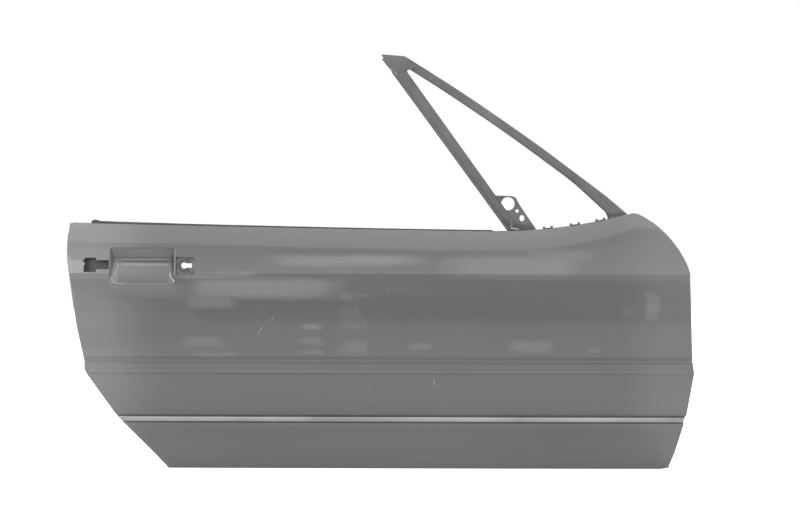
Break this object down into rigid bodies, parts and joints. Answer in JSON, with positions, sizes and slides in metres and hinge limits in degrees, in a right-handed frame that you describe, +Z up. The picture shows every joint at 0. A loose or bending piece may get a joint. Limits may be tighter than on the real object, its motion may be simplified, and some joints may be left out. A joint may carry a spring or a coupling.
{
  "type": "car door shell",
  "caption": "Stripped right-hand car door shell: hemmed outer skin with handle cup and bright strip, pierced inner panel and a quarter-light frame that leans back above the belt.",
  "frame": {"origin": "middle of the upper hinge seat, on the outside of the inner panel's hinge face", "axes": "+X towards the front of the car and out of the hinge seat, +Y inboard through the door's thickness, +Z up"},
  "size_m": [1.3216, 0.1788, 0.885],
  "materials": {
    "body_paint": "mid-grey gloss paint with a soft sheen, lightly scratched",
    "inner_paint": "mid-grey paint, less glossy than outside",
    "frame_paint": "dark grey semi-gloss paint",
    "bright_trim": "bright anodised strip, a little dull",
    "zinc_steel": "zinc-plated sheet steel",
    "black_steel": "black-coated sheet steel",
    "rubber": "matt black rubber",
    "mastic": "dark matt bitumen and mastic"
  },
  "bodies": {
    "root": {"bar_foot_seal": "rubber", "bar_foot_strap": "zinc_steel", "beam_bracket_front": "zinc_steel", "beam_bracket_rear": "zinc_steel", "beam_pad_front": "mastic", "beam_pad_rear": "mastic", "belt_clip_front": "black_steel", "belt_clip_middle": "black_steel", "belt_clip_rear": "black_steel", "belt_seal": "rubber", "check_strap_plate": "zinc_steel", "corner_bracket": "frame_paint", "damping_pad": "mastic", "division_post": "frame_paint", "drain_grommet_front": "rubber", "drain_grommet_middle": "rubber", "drain_grommet_rear": "rubber", "front_glass_guide": "zinc_steel", "front_guide_strap": "zinc_steel", "glass_run": "rubber", "handle_bracket": "black_steel", "hinge_plate_lower": "zinc_steel", "hinge_plate_upper": "zinc_steel", "inner_belt_rail": "inner_paint", "inner_panel": "inner_paint", "intrusion_beam": "zinc_steel", "latch_plate": "zinc_steel", "lock_plate": "black_steel", "mirror_plate": "frame_paint", "outer_belt_rail": "inner_paint", "outer_skin": "body_paint", "pillar_bar": "frame_paint", "post_strap": "zinc_steel", "rear_glass_guide": "zinc_steel", "rear_guide_strap_high": "zinc_steel", "rear_guide_strap_low": "zinc_steel", "trim_strip": "bright_trim"}
  },
  "joints": []
}
